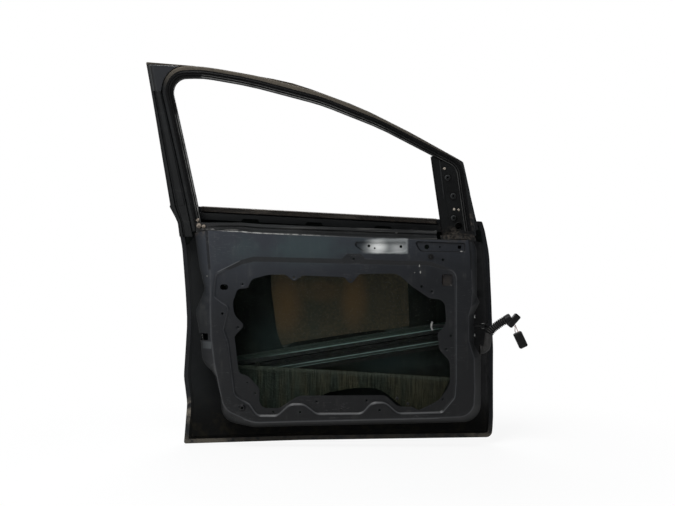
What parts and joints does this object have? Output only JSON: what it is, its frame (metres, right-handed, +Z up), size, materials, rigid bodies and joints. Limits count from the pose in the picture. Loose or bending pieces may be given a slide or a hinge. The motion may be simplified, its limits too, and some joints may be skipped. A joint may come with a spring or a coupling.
{
  "type": "car door shell",
  "caption": "Left front door shell of a compact car: pressed inner panel, outer skin, window frame, lowered glass, sliding check arm and harness boot.",
  "frame": {"origin": "middle of the upper hinge face on the front wall, between its two bolt holes", "axes": "+X forward (out of the hinge face), +Y out of the car, +Z up"},
  "size_m": [1.1852, 0.2006, 1.195],
  "materials": {
    "panel_paint": "dark blue-grey semi-gloss factory paint with dust and stains",
    "frame_paint": "satin near-black paint",
    "sash_paint": "dull brownish grey paint film",
    "belt_rubber": "weathered brown rubber",
    "seal_rubber": "matt black rubber",
    "bare_steel": "dull zinc-plated steel",
    "green_glass": "dusty green-tinted toughened glass",
    "damping_sheet": "ochre bitumen sheet",
    "grey_plastic": "dark grey moulded plastic",
    "wire_cover": "brown wire insulation"
  },
  "bodies": {
    "door_shell": {"boot_collar": "grey_plastic", "check_bolt_lower": "bare_steel", "check_bolt_upper": "bare_steel", "check_box": "grey_plastic", "damping_pad": "damping_sheet", "divider_bar": "frame_paint", "frame_corner_gusset": "panel_paint", "frame_sash": "sash_paint", "front_glass_channel": "bare_steel", "glass_run_seal": "seal_rubber", "glass_stop_front": "seal_rubber", "glass_stop_rear": "seal_rubber", "harness_boot": "seal_rubber", "harness_clip": "grey_plastic", "inner_belt_reinforcement": "frame_paint", "inner_panel": "panel_paint", "intrusion_beam": "frame_paint", "lead_wire_1": "wire_cover", "lead_wire_2": "wire_cover", "lock_reinforcement": "bare_steel", "lower_hinge_plate": "bare_steel", "main_connector": "grey_plastic", "mirror_bracket": "frame_paint", "mirror_rivet_1": "bare_steel", "mirror_rivet_2": "bare_steel", "mirror_rivet_3": "bare_steel", "outer_belt_reinforcement": "frame_paint", "outer_belt_strip": "belt_rubber", "outer_skin": "panel_paint", "pillar_cover": "sash_paint", "rear_glass_channel": "bare_steel", "rear_pillar": "frame_paint", "small_connector": "seal_rubber", "upper_hinge_plate": "bare_steel", "window_frame": "frame_paint", "window_glass": "green_glass"},
    "check_arm": {"check_arm": "frame_paint", "check_stop": "bare_steel"},
    "check_bracket": {"check_bracket": "frame_paint", "check_pin": "bare_steel"}
  },
  "joints": [
    {"name": "check_slide", "type": "slide", "parent": "door_shell", "child": "check_arm", "axis": [1, 0, 0], "range_m": [0, 0.075]},
    {"name": "check_pivot", "type": "hinge", "parent": "check_arm", "child": "check_bracket", "pos_m": [0.024, 0.005, -0.129], "axis": [0, 0, 1], "range_deg": [0, 65]}
  ]
}
